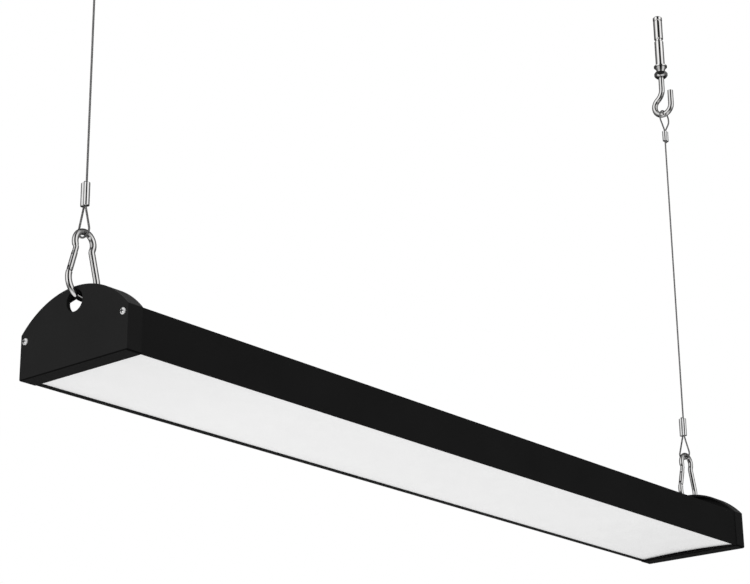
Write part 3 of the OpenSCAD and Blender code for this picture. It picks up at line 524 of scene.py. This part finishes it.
def rope_route(side):
    """Whole middle line of a rope: upper tail and eye, the run, lower eye and tail."""
    x = side * HANG_X
    upper = [(x + STRAND_GAP / 2 + p, 0, UPPER_CROWN_Z - EYE_LEN + q)
             for p, q in eye_route(UPPER_CROWN_R, UPPER_TAIL)]
    lower = [(x, STRAND_GAP / 2 + p, LOWER_CROWN_Z + EYE_LEN - q)
             for p, q in eye_route(LOWER_CROWN_R, LOWER_TAIL)]
    return upper + lower[::-1]


def rope_tree():
    """Geometry Nodes: laid strands swept along the middle line of a rope."""
    tree = bpy.data.node_groups.new("laid_rope", "GeometryNodeTree")
    face = tree.interface
    face.new_socket("Route", in_out="INPUT", socket_type="NodeSocketGeometry")
    for label, kind, default in (
            ("Rope Radius", VALUE, ROPE_D / 2), ("Lay Length", VALUE, ROPE_LAY),
            ("Step", VALUE, ROPE_STEP), ("Strands", "NodeSocketInt", ROPE_STRANDS),
            ("Profile Points", "NodeSocketInt", ROPE_PROFILE)):
        face.new_socket(label, in_out="INPUT", socket_type=kind).default_value = default
    face.new_socket("Finish", in_out="INPUT", socket_type="NodeSocketMaterial")
    face.new_socket("Rope", in_out="OUTPUT", socket_type="NodeSocketGeometry")
    graph = Graph(tree)
    given = graph.add("NodeGroupInput").outputs

    # The middle line, with a tilt that turns once in each lay length
    line = graph.add("GeometryNodeMeshToCurve", {"Mesh": given["Route"]})
    line = graph.add("GeometryNodeResampleCurve",
                     {"Curve": line.outputs[0], "Length": given["Step"]}, mode="LENGTH")
    length = graph.add("GeometryNodeSplineParameter").outputs["Length"]
    turn = graph.math("MULTIPLY", graph.math("DIVIDE", length, given["Lay Length"]), 2 * pi)
    line = graph.add("GeometryNodeSetCurveTilt", {"Curve": line.outputs[0], "Tilt": turn})

    # The outline: strands of radius strand_r, with their centres on a ring of radius ring_r.
    # A lobe is half of the angle that one strand takes up
    lobe = graph.math("DIVIDE", pi, given["Strands"])
    bulge = graph.math("SINE", lobe)
    strand_r = graph.math("DIVIDE", graph.math("MULTIPLY", given["Rope Radius"], bulge),
                          graph.math("ADD", 1.0, bulge))
    ring_r = graph.math("SUBTRACT", given["Rope Radius"], strand_r)
    circle = graph.add("GeometryNodeCurvePrimitiveCircle",
                       {"Resolution": given["Profile Points"], "Radius": 1.0}, mode="RADIUS")

    # The angle between each point of a unit circle and the middle of the strand there
    point = graph.add("GeometryNodeInputPosition").outputs[0]
    axes = graph.axes(point)
    angle = graph.math("ARCTAN2", axes["Y"], axes["X"])
    share = graph.math("DIVIDE", angle, graph.math("MULTIPLY", lobe, 2.0))
    share = graph.math("FRACT", graph.math("ADD", share, 0.5))
    off = graph.math("MULTIPLY", graph.math("SUBTRACT", share, 0.5),
                     graph.math("MULTIPLY", lobe, 2.0))

    # The outline's distance from the rope's middle at that angle
    across = graph.math("MULTIPLY", ring_r, graph.math("SINE", off))
    chord = graph.math("SUBTRACT", graph.math("MULTIPLY", strand_r, strand_r),
                       graph.math("MULTIPLY", across, across))
    chord = graph.math("SQRT", chord)
    reach = graph.math("MULTIPLY", ring_r, graph.math("COSINE", off))
    reach = graph.math("ADD", reach, chord)
    moved = graph.add("ShaderNodeVectorMath", {0: point, "Scale": reach}, operation="SCALE")
    profile = graph.add("GeometryNodeSetPosition",
                        {"Geometry": circle.outputs["Curve"], "Position": moved.outputs[0]})

    swept = graph.add("GeometryNodeCurveToMesh", {
        "Curve": line.outputs[0], "Profile Curve": profile.outputs[0], "Fill Caps": True})
    smooth = graph.add("GeometryNodeSetShadeSmooth", {0: swept.outputs[0]})
    real = graph.add("GeometryNodeRealizeInstances", {0: smooth.outputs[0]})
    dressed = graph.add("GeometryNodeSetMaterial",
                        {"Geometry": real.outputs[0], "Material": given["Finish"]})
    graph.add("NodeGroupOutput", {"Rope": dressed.outputs[0]})
    return tree


def grown(name, base_mesh, tree, values):
    """Runs a Geometry Nodes tree on a mesh and keeps the result as a plain mesh."""
    source = bpy.data.objects.new(name + "_route", base_mesh)
    bpy.context.scene.collection.objects.link(source)
    modifier = source.modifiers.new("grow", "NODES")
    modifier.node_group = tree
    for item in tree.interface.items_tree:
        if item.in_out == "INPUT" and item.name in values:
            modifier[item.identifier] = values[item.name]
    evaluated = source.evaluated_get(bpy.context.evaluated_depsgraph_get())
    mesh = bpy.data.meshes.new_from_object(evaluated)
    mesh.name = name
    bpy.data.objects.remove(source)
    made = bpy.data.objects.new(name, mesh)
    bpy.context.scene.collection.objects.link(made)
    return made


def build_rope(side, name, node, body, tree, finish):
    """One rope on its route, in place of the plain wire of the CAD."""
    route = rope_route(side)
    line = bpy.data.meshes.new(name + "_line")
    line.from_pydata(route, [(i, i + 1) for i in range(len(route) - 1)], [])
    rope = grown(name, line, tree, {"Finish": finish})
    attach(rope, body)
    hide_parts(node)


# ---------------------------------------------------------------- studio

def build_world(back):
    """White to the camera, a banded studio to polished metal, and even light otherwise."""
    world = bpy.data.worlds.new("studio")
    world.use_nodes = True
    world.node_tree.nodes.clear()
    graph = Graph(world.node_tree)
    path = graph.add("ShaderNodeLightPath").outputs
    place = graph.add("ShaderNodeTexCoord").outputs["Generated"]
    flat = graph.vector("MULTIPLY", place, LEVEL)["Vector"]
    flat = graph.vector("NORMALIZE", flat)["Vector"]
    where = graph.remap(graph.vector("DOT_PRODUCT", flat, back)["Value"], -1.0, 1.0)
    ramp = graph.add("ShaderNodeValToRGB", {"Fac": where})
    stops = ramp.color_ramp.elements
    while len(stops) < len(REFLECTED_BANDS):
        stops.new(0.5)
    for stop, (degrees_away, level) in zip(stops, REFLECTED_BANDS):
        stop.position = (1 + cos(radians(degrees_away))) / 2
        stop.color = grey(level)
    height = graph.axes(place)["Z"]
    left = graph.math("MULTIPLY",
                      graph.remap(height, *REFLECTED_BELOW_Z, REFLECTED_BELOW, 1.0),
                      graph.remap(height, *REFLECTED_ABOVE_Z, 1.0, REFLECTED_ABOVE))
    banded = graph.add("ShaderNodeBackground", {"Color": ramp.outputs["Color"],
                                                "Strength": left})
    white = graph.add("ShaderNodeBackground", {"Color": grey(1.0), "Strength": 1.0})
    even = graph.add("ShaderNodeBackground", {"Color": grey(1.0), "Strength": AMBIENT})
    mixed = graph.add("ShaderNodeMixShader", {0: path["Is Glossy Ray"], 1: even.outputs[0],
                                              2: banded.outputs[0]})
    mixed = graph.add("ShaderNodeMixShader", {0: path["Is Camera Ray"], 1: mixed.outputs[0],
                                              2: white.outputs[0]})
    graph.add("ShaderNodeOutputWorld", {"Surface": mixed.outputs[0]})
    bpy.context.scene.world = world


def build_lamp():
    """Soft lamp that faces the middle of the part and shows in no reflection."""
    lamp = bpy.data.lights.new("soft_lamp", "AREA")
    lamp.shape = "SQUARE"
    lamp.size = LAMP_SIZE
    lamp.energy = LAMP_WATTS
    holder = bpy.data.objects.new("soft_lamp", lamp)
    holder.visible_glossy = False
    holder.location = LAMP_AT
    middle = (Vector(CAD_BOX[0]) + Vector(CAD_BOX[1])) / 2
    holder.rotation_euler = (middle - Vector(LAMP_AT)).to_track_quat("-Z", "Y").to_euler()
    bpy.context.scene.collection.objects.link(holder)


def build_floor():
    """Pale floor that fades into the white background, and is clear from below."""
    angles = [2 * pi * i / FLOOR_SIDES for i in range(FLOOR_SIDES)]
    rim = [(FLOOR_R * cos(angle), FLOOR_R * sin(angle), FLOOR_Z) for angle in angles]
    mesh = bpy.data.meshes.new("floor")
    mesh.from_pydata(rim, [], [list(range(FLOOR_SIDES))])
    floor = bpy.data.objects.new("floor", mesh)
    bpy.context.scene.collection.objects.link(floor)
    material = bpy.data.materials.new("pale_floor")
    material.use_nodes = True
    graph = Graph(material.node_tree)
    nodes = material.node_tree.nodes
    shader = nodes["Principled BSDF"]
    place = graph.add("ShaderNodeTexCoord").outputs["Object"]
    tone = graph.remap(graph.noise(place, FLOOR_CLOUD_SCALE), *NOISE_RANGE)
    dim, pale = FLOOR_GREYS
    graph.feed(shader.inputs["Base Color"], graph.blend(tone, grey(dim), grey(pale)))
    shader.inputs["Roughness"].default_value = FLOOR_ROUGHNESS
    flat = graph.vector("MULTIPLY", place, LEVEL)["Vector"]
    away = graph.vector("LENGTH", flat)["Value"]
    fade = graph.remap(away, FLOOR_FADE[0] * FLOOR_R, FLOOR_FADE[1] * FLOOR_R)
    under = graph.add("ShaderNodeNewGeometry").outputs["Backfacing"]
    clear = graph.add("ShaderNodeBsdfTransparent")
    hidden = graph.math("MAXIMUM", fade, under)
    mixed = graph.add("ShaderNodeMixShader", {0: hidden, 1: shader.outputs[0],
                                              2: clear.outputs[0]})
    graph.feed(nodes["Material Output"].inputs["Surface"], mixed.outputs[0])
    mesh.materials.append(material)


def build_camera():
    """Camera of the photograph; returns the level direction from the light back to it."""
    ahead = Vector((sin(CAMERA_AZIMUTH) * cos(CAMERA_ELEVATION),
                    cos(CAMERA_AZIMUTH) * cos(CAMERA_ELEVATION), sin(CAMERA_ELEVATION)))
    right = ahead.cross(Vector((0, 0, 1))).normalized()
    up = right.cross(ahead)
    rolled_right = cos(CAMERA_ROLL) * right + sin(CAMERA_ROLL) * up
    rolled_up = cos(CAMERA_ROLL) * up - sin(CAMERA_ROLL) * right
    lens = bpy.data.cameras.new("camera")
    lens.sensor_fit = "HORIZONTAL"
    lens.sensor_width = CAMERA_SENSOR
    lens.lens = CAMERA_LENS
    lens.clip_end = CAMERA_CLIP_END
    camera = bpy.data.objects.new("camera", lens)
    turn = Matrix((rolled_right, rolled_up, -ahead)).transposed().to_4x4()
    turn.translation = Vector(CAMERA_AT)
    camera.matrix_world = turn
    bpy.context.scene.collection.objects.link(camera)
    bpy.context.scene.camera = camera
    return (-Vector((ahead.x, ahead.y, 0))).normalized()


def build():
    """The studio round the part, the finishes of its nodes, and the two ropes."""
    bpy.context.scene.view_settings.view_transform = "Standard"
    back = build_camera()
    build_world(back)
    build_lamp()
    build_floor()
    finishes = build_finishes()
    dress_nodes(finishes)
    tree = rope_tree()
    build_rope(-1, "left_rope", "left_wire", "wire_left", tree, finishes["wire_steel"])
    build_rope(1, "right_rope", "right_wire", "wire_right", tree, finishes["wire_steel"])


build()
